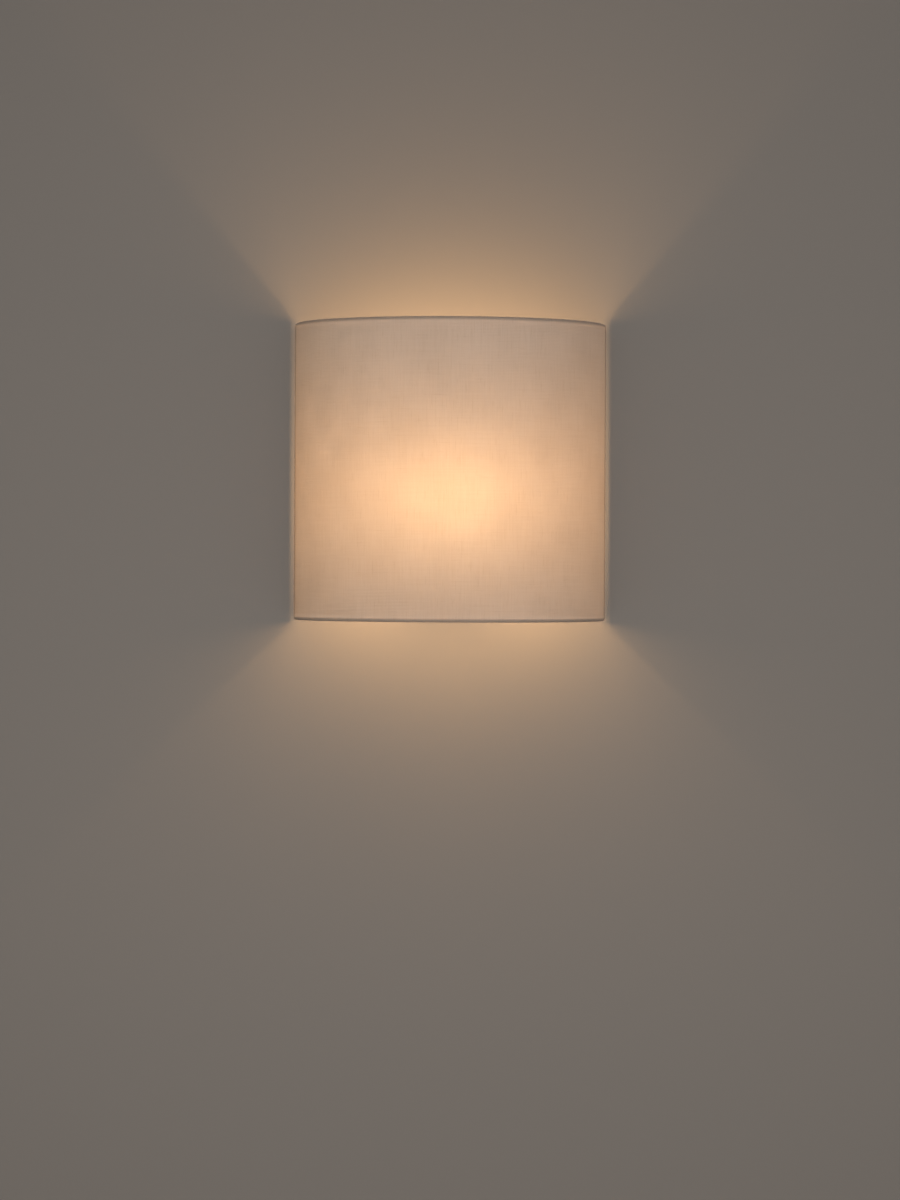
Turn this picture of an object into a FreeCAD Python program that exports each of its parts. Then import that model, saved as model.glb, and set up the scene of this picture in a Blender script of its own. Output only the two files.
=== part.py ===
import FreeCAD, Part
import math
import os
import re
import Sketcher

# Fabric shade wall light: a half-round fabric drum that hangs on a wall plate, in front of a steel
# cover that carries the lamp arm, the lampholder and an opal golf-ball bulb.
#
# Millimetres, +Z up, +X right.  The wall is the plane y = 0 and the light stands out along -Y.
# The origin is the centre of the wall plate's back face.

DIMENSIONS = {
    # the shade's outside, and how far its back edge stands off the wall
    "shade_width": 250,
    "shade_height": 238,
    "shade_bottom": -74,
    "shade_axis_y": -4.5,
    "fabric_thick": 0.5,
    "liner_thick": 0.35,
    "frame_wire": 3,
    "hem_play": 0.25,
    "lift_travel": 5.5,
    # the flat back struts that hang on the studs
    "strut_width": 12,
    "strut_thick": 1.5,
    "strut_spacing": 84,
    "stud_neck": 3.5,
    "stud_head": 7,
    "stud_spacing": 76,
    # the wall plate and the cover over it
    "plate_width": 56,
    "plate_height": 112,
    "plate_thick": 1.5,
    "ear_width": 98,
    "ear_height": 16,
    "tab_depth": 14,
    "tab_height": 14,
    "wall_hole": 5,
    "wall_hole_spacing": 90,
    "cover_width": 62,
    "cover_height": 126,
    "cover_depth": 23,
    "cover_thick": 1.2,
    "cover_screw_y": -9,
    "grommet_height": 27,
    "grommet_hole": 13,
    "grommet_bore": 8,
    "earth_screw_x": -20,
    "earth_screw_z": -26,
    # the terminal block
    "block_width": 30,
    "block_height": 14,
    "block_depth": 14,
    "block_middle": -8,
    "pole_pitch": 9,
    # the lamp arm, a channel open downwards
    "arm_top": -52,
    "arm_width": 24,
    "arm_depth": 11,
    "arm_thick": 1.5,
    "lamp_y": -58,
    "arm_end_y": -74,
    "wire_hole_height": -58,
    "wire_hole": 7.6,
    "wire_size": 2.2,
    "wire_height": -60.2,
    # the threaded lampholder and its hollow nipple
    "nipple_size": 10,
    "nipple_bore": 7,
    "nipple_length": 10,
    "nut_thick": 3,
    "washer_thick": 0.8,
    "holder_size": 40,
    "dome_height": 17,
    "skirt_height": 29,
    "socket_size": 27,
    "insert_bottom": -38,
    "insert_thick": 6,
    # the bulb, measured up from its tip
    "bulb_tip": -29,
    "bulb_size": 45,
    "bulb_height": 78,
    "cap_height": 25,
    "cap_root": 24.4,
    "cap_crest": 26.1,
    "thread_pitch": 3.6,
}

doc = FreeCAD.newDocument("FabricShadeWallLight")
sheet = doc.addObject("Spreadsheet::Sheet", "Sizes")
for row, (alias, size) in enumerate(DIMENSIONS.items(), start=1):
    sheet.set("A%d" % row, alias)
    sheet.set("B%d" % row, str(size))
    sheet.setAlias("B%d" % row, alias)
worked = doc.addObject("Spreadsheet::Sheet", "WorkedOut")
doc.recompute()

nodes = []


def size(alias):
    """One driving dimension, as a number."""
    return float(sheet.get(alias))


def formula(text):
    """A formula written with plain aliases, as the sheet's own expression."""
    return re.sub(r"[a-z][a-z_]+", lambda word: "Sizes." + word.group(0), text)


def value(text):
    """What a formula comes to, worked out in a second sheet's cell."""
    worked.set("A1", "=" + formula(text))
    worked.recompute()
    return float(worked.get("A1"))


def bind(thing, prop, text):
    thing.setExpression(prop, formula(text))


def keep(thing, name):
    """Name a finished sub-part and keep it for export."""
    thing.Label = name
    nodes.append(thing)
    return thing


# ---------------------------------------------------------------- sketches and bodies

def new_body(name, place=("0", "0", "0")):
    body = doc.addObject("PartDesign::Body", name + "_body")
    for axis, text in zip("xyz", place):
        bind(body, "Placement.Base." + axis, text)
    return body


def new_sketch(body, role, offset=("0", "0", "0")):
    """A sketch on one of the body's own origin planes, moved by an offset in that plane's axes."""
    plane = [feature for feature in body.Origin.OriginFeatures if feature.Role == role][0]
    sketch = body.newObject("Sketcher::SketchObject", body.Name + "_sketch")
    sketch.AttachmentSupport = [(plane, "")]
    sketch.MapMode = "FlatFace"
    for axis, text in zip("xyz", offset):
        bind(sketch, "AttachmentOffset.Base." + axis, text)
    return sketch


def fix_point(sketch, edge, end, x, y):
    """Hold one point of the sketch at two formulas, measured from its origin."""
    for kind, text in (("DistanceX", x), ("DistanceY", y)):
        number = sketch.addConstraint(Sketcher.Constraint(kind, -1, 1, edge, end, value(text)))
        bind(sketch, "Constraints[%d]" % number, text)


def draw_outline(sketch, corners, arcs=None):
    """A closed outline through corners given as pairs of formulas.

    Its edges are straight, but for those in arcs: edge number: (centre x, centre y, turn), where the
    turn is 1 anticlockwise and -1 clockwise.
    """
    arcs = arcs or {}
    count = len(corners)
    first = sketch.GeometryCount
    points = [FreeCAD.Vector(value(x), value(y), 0) for x, y in corners]
    starts, ends = [], []
    for i in range(count):
        here, there = points[i], points[(i + 1) % count]
        starts.append(1)
        ends.append(2)
        if i not in arcs:
            sketch.addGeometry(Part.LineSegment(here, there), False)
            continue
        centre_x, centre_y, turn = arcs[i]
        centre = FreeCAD.Vector(value(centre_x), value(centre_y), 0)
        if turn < 0:
            here, there = there, here
            starts[i], ends[i] = 2, 1
        circle = Part.Circle(centre, FreeCAD.Vector(0, 0, 1), (here - centre).Length)
        begin = math.atan2(here.y - centre.y, here.x - centre.x)
        finish = math.atan2(there.y - centre.y, there.x - centre.x)
        sketch.addGeometry(Part.ArcOfCircle(circle, begin, finish), False)
    for i in range(count):
        following = (i + 1) % count
        sketch.addConstraint(Sketcher.Constraint(
            "Coincident", first + i, ends[i], first + following, starts[following]))
    for i, (x, y) in enumerate(corners):
        fix_point(sketch, first + i, starts[i], x, y)
    for i, (centre_x, centre_y, turn) in arcs.items():
        number = sketch.addConstraint(Sketcher.Constraint("DistanceY", -1, 1, first + i, 3, value(centre_y)))
        bind(sketch, "Constraints[%d]" % number, centre_y)


def draw_rectangle(sketch, left, right, bottom, top):
    draw_outline(sketch, [(left, bottom), (left, top), (right, top), (right, bottom)])


def draw_circle(sketch, x, y, radius):
    centre = FreeCAD.Vector(value(x), value(y), 0)
    edge = sketch.addGeometry(Part.Circle(centre, FreeCAD.Vector(0, 0, 1), value(radius)), False)
    fix_point(sketch, edge, 3, x, y)
    number = sketch.addConstraint(Sketcher.Constraint("Radius", edge, value(radius)))
    bind(sketch, "Constraints[%d]" % number, radius)


def extrude(body, sketch, length, kind="Pad", midplane=False, reverse=False):
    """Pad or pocket a sketch, and refuse a pocket that cuts nothing."""
    before = body.Shape.Volume if kind == "Pocket" else 0
    feature = body.newObject("PartDesign::" + kind, body.Name + "_" + kind)
    feature.Profile = sketch
    feature.Midplane = midplane
    feature.Reversed = reverse
    bind(feature, "Length", length)
    doc.recompute()
    if kind == "Pocket" and body.Shape.Volume > before - 0.01:
        raise RuntimeError("%s: the pocket cuts nothing" % body.Name)
    return feature


def revolve(body, sketch, angle="360", midplane=False):
    """Turn a sketch about its own upright axis."""
    feature = body.newObject("PartDesign::Revolution", body.Name + "_turned")
    feature.Profile = sketch
    feature.ReferenceAxis = (sketch, ["V_Axis"])
    feature.Midplane = midplane
    bind(feature, "Angle", angle)
    doc.recompute()
    return feature


def turned_piece(name, place, corners):
    """A round piece: one outline, in radius and height, turned about the upright axis at place."""
    body = new_body(name, place)
    sketch = new_sketch(body, "XZ_Plane")
    draw_outline(sketch, corners)
    revolve(body, sketch)
    return keep(body, name)


def round_edges(body, radius, wanted):
    """Fillet the edges of the body's tip for which wanted(edge) is true."""
    doc.recompute()
    base = body.Tip
    names = ["Edge%d" % (i + 1) for i, edge in enumerate(base.Shape.Edges) if wanted(edge)]
    fillet = body.newObject("PartDesign::Fillet", body.Name + "_rounded")
    fillet.Base = (base, names)
    fillet.Radius = radius
    doc.recompute()


def runs_along(edge, axis):
    """True for a straight edge along one axis."""
    box = edge.BoundBox
    spans = {"x": box.XLength, "y": box.YLength, "z": box.ZLength}
    along = spans.pop(axis)
    return along > 0.5 and max(spans.values()) < 0.001


# ---------------------------------------------------------------- primitives and booleans

AXIS_TURNS = {
    "z": FreeCAD.Rotation(),
    "x": FreeCAD.Rotation(FreeCAD.Vector(0, 1, 0), 90),
    "y": FreeCAD.Rotation(FreeCAD.Vector(1, 0, 0), -90),
    "-y": FreeCAD.Rotation(FreeCAD.Vector(1, 0, 0), 90),
    "-x": FreeCAD.Rotation(FreeCAD.Vector(0, 1, 0), -90),
}


def put(thing, place, axis="z"):
    thing.Placement = FreeCAD.Placement(FreeCAD.Vector(), AXIS_TURNS[axis])
    for direction, text in zip("xyz", place):
        bind(thing, "Placement.Base." + direction, text)
    return thing


def cylinder(radius, length, place, axis="z"):
    """A cylinder that starts at place and runs along axis."""
    thing = doc.addObject("Part::Cylinder", "cylinder")
    bind(thing, "Radius", radius)
    bind(thing, "Height", length)
    return put(thing, place, axis)


def block(across, along, high, place):
    """A box whose lowest corner is at place."""
    thing = doc.addObject("Part::Box", "block")
    bind(thing, "Length", across)
    bind(thing, "Width", along)
    bind(thing, "Height", high)
    return put(thing, place)


def hexagon(across_flats, length, place):
    """An upright hexagonal prism."""
    thing = doc.addObject("Part::Prism", "hexagon")
    thing.Polygon = 6
    bind(thing, "Circumradius", "%s / 1.7320508" % across_flats)
    bind(thing, "Height", length)
    return put(thing, place)


def join(*things):
    fused = doc.addObject("Part::MultiFuse", "joined")
    fused.Shapes = list(things)
    return fused


def cut(base, *tools):
    result = doc.addObject("Part::Cut", "cut")
    result.Base = base
    result.Tool = tools[0] if len(tools) == 1 else join(*tools)
    return result


# ---------------------------------------------------------------- shade

HEM_ROLL = "(frame_wire / 2 + hem_play)"
HEM_LINE = "(shade_width / 2 - fabric_thick - frame_wire / 2 - hem_play)"
LOW_RING = "(shade_bottom + fabric_thick + frame_wire / 2 + hem_play)"
HIGH_RING = "(shade_bottom + shade_height - fabric_thick - frame_wire / 2 - hem_play)"
WIRE_LINE = "(shade_width / 2 - fabric_thick - hem_play - 0.15 - frame_wire / 2)"


def shade_fabric():
    """Half-round fabric skin whose edges roll round the ring wires and the side rods."""
    outer = "-shade_width / 2"
    inner = "fabric_thick - shade_width / 2"
    tuck = "%s - %s" % (HEM_ROLL, HEM_LINE)
    tuck_in = "%s + fabric_thick" % tuck
    hem_line = "-" + HEM_LINE
    leg = "frame_wire / 2"
    body = new_body("shade_fabric", ("0", "shade_axis_y", "0"))
    skin = new_sketch(body, "YZ_Plane")
    draw_outline(skin, [
        (outer, LOW_RING), (outer, HIGH_RING), (tuck_in, HIGH_RING), (tuck_in, "%s - %s" % (HIGH_RING, leg)),
        (tuck, "%s - %s" % (HIGH_RING, leg)), (tuck, HIGH_RING), (inner, HIGH_RING), (inner, LOW_RING),
        (tuck, LOW_RING), (tuck, "%s + %s" % (LOW_RING, leg)), (tuck_in, "%s + %s" % (LOW_RING, leg)),
        (tuck_in, LOW_RING)],
        {1: (hem_line, HIGH_RING, -1), 5: (hem_line, HIGH_RING, 1),
         7: (hem_line, LOW_RING, 1), 11: (hem_line, LOW_RING, -1)})
    revolve(body, skin, "180", midplane=True)
    for side, turn in (("-", -1), ("", 1)):
        around = side + HEM_LINE
        edge = "%s(shade_width / 2)" % side
        under = "%s(shade_width / 2 - fabric_thick)" % side
        folded = "%s(%s - %s)" % (side, HEM_LINE, HEM_ROLL)
        folded_in = "%s(%s - %s - fabric_thick)" % (side, HEM_LINE, HEM_ROLL)
        side_hem = new_sketch(body, "XY_Plane", ("0", "0", LOW_RING + " + 2.5"))
        draw_outline(side_hem, [
            (edge, "0"), (folded_in, "0"), (folded_in, "-4"), (folded, "-4"), (folded, "0"), (under, "0")],
            {0: (around, "0", turn), 4: (around, "0", -turn)})
        extrude(body, side_hem, "%s - %s - 5" % (HIGH_RING, LOW_RING))
    for height in (LOW_RING, HIGH_RING):
        bar_slot = new_sketch(body, "YZ_Plane")
        draw_circle(bar_slot, "0", height, "frame_wire / 2 + 0.2")
        extrude(body, bar_slot, "2 * (%s - 0.75)" % HEM_LINE, "Pocket", midplane=True)
    keep(body, "shade_fabric")


def shade_liner():
    """Translucent plastic liner laminated behind the fabric."""
    roll = "frame_wire / 2 + hem_play + fabric_thick"
    outer = "shade_width / 2 - fabric_thick"
    body = new_body("shade_liner", ("0", "shade_axis_y", "0"))
    sheet_edge = new_sketch(body, "YZ_Plane")
    draw_rectangle(sheet_edge, "-(%s)" % outer, "liner_thick - (%s)" % outer,
                   "shade_bottom + 2 * (%s) + 0.1" % roll,
                   "shade_bottom + shade_height - 2 * (%s) - 0.1" % roll)
    revolve(body, sheet_edge, "177.6", midplane=True)
    keep(body, "shade_liner")


def ring_wire(name, height):
    """A half ring of wire with a straight bar welded across its ends."""
    arc = doc.addObject("Part::Torus", name + "_arc")
    bind(arc, "Radius1", WIRE_LINE)
    bind(arc, "Radius2", "frame_wire / 2")
    bind(arc, "Angle3", "180")
    arc.Placement = FreeCAD.Placement(FreeCAD.Vector(), FreeCAD.Rotation(FreeCAD.Vector(0, 0, 1), 180))
    for direction, text in zip("xyz", ("0", "shade_axis_y", height)):
        bind(arc, "Placement.Base." + direction, text)
    bar = cylinder("frame_wire / 2", "2 * " + WIRE_LINE, ("-" + WIRE_LINE, "shade_axis_y", height), "x")
    keep(join(arc, bar), name)


def side_rod(name, side):
    """Straight wire welded between the two rings at one back corner."""
    x = "%s%s" % (side, WIRE_LINE)
    length = "shade_height - 2 * (fabric_thick + hem_play) - 2 * frame_wire"
    keep(cylinder("frame_wire / 2", length, (x, "shade_axis_y", LOW_RING + " + frame_wire / 2")), name)


def back_strut(name, side):
    """Flat strip welded across both back bars, with two keyholes for the studs."""
    middle = "%sstrut_spacing / 2" % side
    front = "frame_wire / 2 - shade_axis_y"
    body = new_body(name)
    strip = new_sketch(body, "XZ_Plane", ("0", "0", front))
    draw_rectangle(strip, middle + " - strut_width / 2", middle + " + strut_width / 2",
                   LOW_RING + " - frame_wire / 2", HIGH_RING + " + frame_wire / 2")
    extrude(body, strip, "strut_thick")
    neck = "stud_neck / 2 + 0.3"
    for up in ("-", ""):
        stud = "%sstud_spacing / 2" % up
        entry = new_sketch(body, "XZ_Plane", ("0", "0", front))
        draw_circle(entry, middle, stud + " - lift_travel", "stud_head / 2 + 0.4")
        extrude(body, entry, "strut_thick", "Pocket", reverse=True)
        slot = new_sketch(body, "XZ_Plane", ("0", "0", front))
        draw_rectangle(slot, "%s - (%s)" % (middle, neck), "%s + %s" % (middle, neck),
                       stud + " - lift_travel", stud + " - 0.2")
        extrude(body, slot, "strut_thick", "Pocket", reverse=True)
        end = new_sketch(body, "XZ_Plane", ("0", "0", front))
        draw_circle(end, middle, stud + " - 0.2", neck)
        extrude(body, end, "strut_thick", "Pocket", reverse=True)
    keep(body, name)


# ---------------------------------------------------------------- wall plate and its fittings

def wall_plate():
    """Flat steel plate on the wall, with four ears for the studs and two side tabs for the cover."""
    half = "plate_width / 2"
    top = "plate_height / 2"
    ear = "ear_width / 2"
    ear_low = "(stud_spacing - ear_height) / 2"
    ear_high = "(stud_spacing + ear_height) / 2"
    right = [(half, top), (half, ear_high), (ear, ear_high), (ear, ear_low), (half, ear_low)]
    right += [(x, "-(%s)" % z) for x, z in reversed(right)]
    left = [("-" + x, z) for x, z in reversed(right)]
    body = new_body("wall_plate")
    outline = new_sketch(body, "XZ_Plane")
    draw_outline(outline, right + left)
    extrude(body, outline, "plate_thick")
    round_edges(body, 3, lambda edge: (runs_along(edge, "y")
                                       and abs(edge.BoundBox.XMax) > size("ear_width") / 2 - 1))
    tab_face = "cover_width / 2 - cover_thick - 0.3"
    for side in ("-", ""):
        tab = new_sketch(body, "XY_Plane", ("0", "0", "-tab_height / 2"))
        draw_rectangle(tab, "%s(%s)" % (side, tab_face), "%s(%s - plate_thick)" % (side, tab_face),
                       "-tab_depth", "0")
        extrude(body, tab, "tab_height")
    holes = new_sketch(body, "XZ_Plane")
    for up in ("-", ""):
        draw_circle(holes, "0", "%swall_hole_spacing / 2" % up, "wall_hole / 2")
        for side in ("-", ""):
            draw_circle(holes, "%sstrut_spacing / 2" % side, "%sstud_spacing / 2" % up, "2")
    draw_circle(holes, "0", "grommet_height", "grommet_hole / 2")
    for side in ("-", ""):
        draw_circle(holes, "%s9" % side, "11", "1.5")
    draw_circle(holes, "earth_screw_x", "earth_screw_z", "2")
    draw_circle(holes, "4.5", "block_middle", "1.5")
    extrude(body, holes, "plate_thick", "Pocket", reverse=True)
    tab_holes = new_sketch(body, "YZ_Plane")
    draw_circle(tab_holes, "cover_screw_y", "0", "2")
    extrude(body, tab_holes, "cover_width", "Pocket", midplane=True)
    keep(body, "wall_plate")


def hanging_studs():
    """Four shouldered screws: thread in the plate, collar, neck that the keyholes ride on, head."""
    studs = []
    for side in ("-", ""):
        for up in ("-", ""):
            x = "%sstrut_spacing / 2" % side
            z = "%sstud_spacing / 2" % up
            shank = cylinder("2", "plate_thick", (x, "0", z), "-y")
            collar = cylinder("stud_head / 2", "4.1", (x, "-plate_thick", z), "-y")
            neck = cylinder("stud_neck / 2", "2.4", (x, "-plate_thick - 4.1", z), "-y")
            head = cylinder("stud_head / 2", "2", (x, "-plate_thick - 6.4", z), "-y")
            studs.append(join(shank, collar, neck, head))
    group("hanging_studs", studs)


def group(name, pieces):
    """Identical pieces kept as one sub-part of separate solids."""
    compound = doc.addObject("Part::Compound", name + "_set")
    compound.Links = pieces
    keep(compound, name)


def screw(place, axis, shank, length, head, head_height):
    """A pan-head screw: place is under its head, axis points from the head down the shank."""
    back = {"y": "-y", "-y": "y", "x": "-x", "-x": "x", "z": "z"}[axis]
    shank_solid = cylinder(shank, length, place, axis)
    if axis == "z":
        x, y, z = place
        head_solid = cylinder(head, head_height, (x, y, "%s - %s" % (z, head_height)), "z")
    else:
        head_solid = cylinder(head, head_height, place, back)
    return join(shank_solid, head_solid)


def cable_grommet():
    """Rubber ring in the plate's cable hole, with a lip on the front."""
    hole = "grommet_hole / 2"
    tube = cylinder(hole, "plate_thick", ("0", "0", "grommet_height"), "-y")
    lip = cylinder(hole + " + 1.5", "2", ("0", "-plate_thick", "grommet_height"), "-y")
    bore = cylinder("grommet_bore / 2", "plate_thick + 2", ("0", "0", "grommet_height"), "-y")
    keep(cut(join(tube, lip), bore), "cable_grommet")


def cable_clamp():
    """Saddle that grips the supply cable, on two screws."""
    saddle = block("24", "6", "8", ("-12", "-plate_thick - 6", "7"))
    channel = block("10", "4.4", "8", ("-5", "-plate_thick - 4.4", "7"))
    holes = [cylinder("1.6", "6", ("%s9" % side, "-plate_thick", "11"), "-y") for side in ("-", "")]
    keep(cut(saddle, channel, *holes), "cable_clamp")
    screws = [screw(("%s9" % side, "-plate_thick - 6", "11"), "y", "1.5", "6 + plate_thick", "2.8", "2")
              for side in ("-", "")]
    group("clamp_screws", screws)


def terminal_block():
    """Three-pole block with brass sleeves, and a clamping screw at each end of each sleeve."""
    low = "block_middle - block_height / 2"
    middle_y = "-plate_thick - block_depth / 2"
    front_y = "-plate_thick - block_depth"
    poles = ["-pole_pitch", "0", "pole_pitch"]
    body = block("block_width", "block_depth", "block_height", ("-block_width / 2", front_y, low))
    tools = [cylinder("2.6", "block_height", (x, middle_y, low)) for x in poles]
    tools += [cylinder("1.9", "block_depth / 2", (x, front_y, "block_middle %s 3.5" % up), "y")
              for x in poles for up in ("-", "+")]
    tools.append(cylinder("1.6", "block_depth", ("pole_pitch / 2", "-plate_thick", "block_middle"), "-y"))
    keep(cut(body, *tools), "terminal_block")
    sleeves = []
    for x in poles:
        outer = cylinder("2.55", "block_height - 1", (x, middle_y, low + " + 0.5"))
        bore = cylinder("1.5", "block_height - 1", (x, middle_y, low + " + 0.5"))
        screw_holes = [cylinder("1.3", "3", (x, middle_y + " - 3", "block_middle %s 3.5" % up), "y")
                       for up in ("-", "+")]
        sleeves.append(cut(outer, bore, *screw_holes))
    group("terminal_sleeves", sleeves)
    screws = [screw((x, middle_y + " - 4", "block_middle %s 3.5" % up), "y", "1.3", "2.6", "1.7", "1.4")
              for x in poles for up in ("-", "+")]
    group("terminal_screws", screws)
    keep(screw(("pole_pitch / 2", front_y, "block_middle"), "y", "1.5", "block_depth + plate_thick",
               "2.6", "1.6"), "block_screw")


def earth_fittings():
    """Earth screw and its toothed washer on the wall plate."""
    foot = ("earth_screw_x", "-plate_thick", "earth_screw_z")
    keep(cut(cylinder("4", "0.8", foot, "-y"), cylinder("2.1", "0.8", foot, "-y")), "earth_washer")
    under_head = ("earth_screw_x", "-plate_thick - 3.2", "earth_screw_z")
    keep(screw(under_head, "y", "2", "plate_thick + 3.2", "3.8", "2.4"), "earth_screw")


# ---------------------------------------------------------------- cover and lamp arm

def cover():
    """Deep steel cover over the wall plate, open to the wall."""
    body = new_body("cover")
    outline = new_sketch(body, "XZ_Plane")
    draw_rectangle(outline, "-cover_width / 2", "cover_width / 2", "-cover_height / 2", "cover_height / 2")
    extrude(body, outline, "cover_depth")
    round_edges(body, 2, lambda edge: edge.BoundBox.YMin < -1)
    inside = new_sketch(body, "XZ_Plane")
    draw_rectangle(inside, "cover_thick - cover_width / 2", "cover_width / 2 - cover_thick",
                   "cover_thick - cover_height / 2", "cover_height / 2 - cover_thick")
    extrude(body, inside, "cover_depth - cover_thick", "Pocket", reverse=True)
    notches = new_sketch(body, "YZ_Plane")
    for up in ("-", ""):
        middle = "%sstud_spacing / 2" % up
        draw_rectangle(notches, "-plate_thick - 0.5", "1",
                       middle + " - ear_height / 2 - 0.5", middle + " + ear_height / 2 + 0.5")
    draw_circle(notches, "cover_screw_y", "0", "2.2")
    extrude(body, notches, "cover_width + 2", "Pocket", midplane=True)
    front_holes = new_sketch(body, "XZ_Plane")
    draw_circle(front_holes, "0", "wire_hole_height", "wire_hole / 2")
    for side in ("-", ""):
        draw_circle(front_holes, "%s6" % side, "arm_top + 8", "1.8")
    extrude(body, front_holes, "cover_depth", "Pocket", reverse=True)
    keep(body, "cover")
    head_seat = "cover_width / 2"
    group("cover_screws", [
        screw(("-(%s)" % head_seat, "cover_screw_y", "0"), "x", "2", "5", "3.5", "2.2"),
        screw((head_seat, "cover_screw_y", "0"), "-x", "2", "5", "3.5", "2.2"),
    ])


def lamp_arm():
    """Folded channel, open below, with a flange screwed to the cover's front."""
    body = new_body("lamp_arm")
    section = new_sketch(body, "XZ_Plane", ("0", "0", "cover_depth"))
    draw_rectangle(section, "-arm_width / 2", "arm_width / 2", "arm_top - arm_depth", "arm_top")
    extrude(body, section, "-arm_end_y - cover_depth")
    round_edges(body, 3, lambda edge: runs_along(edge, "z") and edge.BoundBox.YMax < size("arm_end_y") + 1)
    hollow = new_sketch(body, "XY_Plane", ("0", "0", "arm_top - arm_depth"))
    draw_rectangle(hollow, "arm_thick - arm_width / 2", "arm_width / 2 - arm_thick",
                   "arm_end_y + arm_thick", "-cover_depth + 1")
    extrude(body, hollow, "arm_depth - arm_thick", "Pocket", reverse=True)
    flange = new_sketch(body, "XZ_Plane", ("0", "0", "cover_depth"))
    draw_rectangle(flange, "-arm_width / 2", "arm_width / 2", "arm_top - 0.5", "arm_top + 15")
    extrude(body, flange, "arm_thick")
    screw_holes = new_sketch(body, "XZ_Plane", ("0", "0", "cover_depth"))
    for side in ("-", ""):
        draw_circle(screw_holes, "%s6" % side, "arm_top + 8", "1.8")
    extrude(body, screw_holes, "arm_thick", "Pocket", reverse=True)
    nipple_hole = new_sketch(body, "XY_Plane", ("0", "0", "arm_top"))
    draw_circle(nipple_hole, "0", "lamp_y", "nipple_size / 2 + 0.1")
    extrude(body, nipple_hole, "arm_thick", "Pocket")
    keep(body, "lamp_arm")
    seat = "-cover_depth - arm_thick"
    group("arm_screws", [screw(("%s6" % side, seat, "arm_top + 8"), "y", "1.75", "7", "3.3", "2.2")
                         for side in ("-", "")])
    nuts = []
    for side in ("-", ""):
        nut = cylinder("3.2", "2.4", ("%s6" % side, "cover_thick - cover_depth", "arm_top + 8"), "y")
        hole = cylinder("1.75", "2.4", ("%s6" % side, "cover_thick - cover_depth", "arm_top + 8"), "y")
        nuts.append(cut(nut, hole))
    group("arm_nuts", nuts)


# ---------------------------------------------------------------- lampholder

def nipple_set():
    """Hollow threaded nipple that clamps the holder to the arm, with its nut and toothed washer."""
    web_bottom = "arm_top - arm_thick"
    bottom = web_bottom + " - washer_thick - nut_thick - 0.2"
    bore = cylinder("nipple_bore / 2", "nipple_length", ("0", "lamp_y", bottom))
    keep(cut(cylinder("nipple_size / 2", "nipple_length", ("0", "lamp_y", bottom)), bore), "hollow_nipple")
    seat = web_bottom + " - washer_thick"
    washer_hole = cylinder("nipple_size / 2 + 0.05", "washer_thick", ("0", "lamp_y", seat))
    keep(cut(cylinder("8", "washer_thick", ("0", "lamp_y", seat)), washer_hole), "toothed_washer")
    under = seat + " - nut_thick"
    keep(cut(hexagon("14", "nut_thick", ("0", "lamp_y", under)),
             cylinder("nipple_size / 2 + 0.02", "nut_thick", ("0", "lamp_y", under))), "nipple_nut")


def lampholder():
    """Threaded two-piece holder: a dome on the nipple and a skirt screwed on it."""
    place = ("0", "lamp_y", "arm_top")
    outer = "holder_size / 2"
    turned_piece("holder_dome", place, [
        ("nipple_size / 2 + 0.02", "0"), ("9", "0"), ("9", "2"), ("17", "5"), (outer, "8.5"),
        (outer, "dome_height"), (outer + " - 2", "dome_height"), (outer + " - 2", "9"),
        ("15.4", "6.6"), ("7", "4"), ("nipple_size / 2 + 0.02", "4")])
    skirt_foot = ("0", "lamp_y", "arm_top + dome_height")
    turned_piece("holder_skirt", skirt_foot, [
        ("15.8", "0"), (outer, "0"), (outer, "skirt_height - 6"), ("18.5", "skirt_height"),
        ("socket_size / 2 + 0.4", "skirt_height"), ("socket_size / 2 + 0.4", "3.2"), ("15.8", "3.2")])


def contact_insert():
    """Moulded disc that carries the contacts, with its terminals underneath."""
    place = ("0", "lamp_y", "insert_bottom")
    high = "insert_thick"
    body = new_body("contact_insert", place)
    profile = new_sketch(body, "XZ_Plane")
    draw_outline(profile, [("1.4", "0"), ("15.5", "0"), ("15.5", high), ("3.4", high), ("3.4", "1.5"),
                           ("1.4", "1.5")])
    revolve(body, profile)
    keep(body, "contact_insert")
    for name, side in (("live_terminal", ""), ("neutral_terminal", "-")):
        post = block("6", "7", "5", ("%s8 - 3" % side, "lamp_y - 3.5", "insert_bottom - 5"))
        wire_hole = cylinder("wire_size / 2 + 0.1", "3.5", ("%s7.2" % side, "lamp_y", "insert_bottom - 5"))
        clamp_hole = cylinder("1.3", "3.5", ("%s8" % side, "lamp_y - 3.5", "insert_bottom - 2"), "y")
        keep(cut(post, wire_hole, clamp_hole), name)
    group("holder_terminal_screws", [
        screw(("%s8" % side, "lamp_y - 3.5", "insert_bottom - 2"), "y", "1.25", "2.2", "1.8", "1.2")
        for side in ("-", "")])


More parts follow.
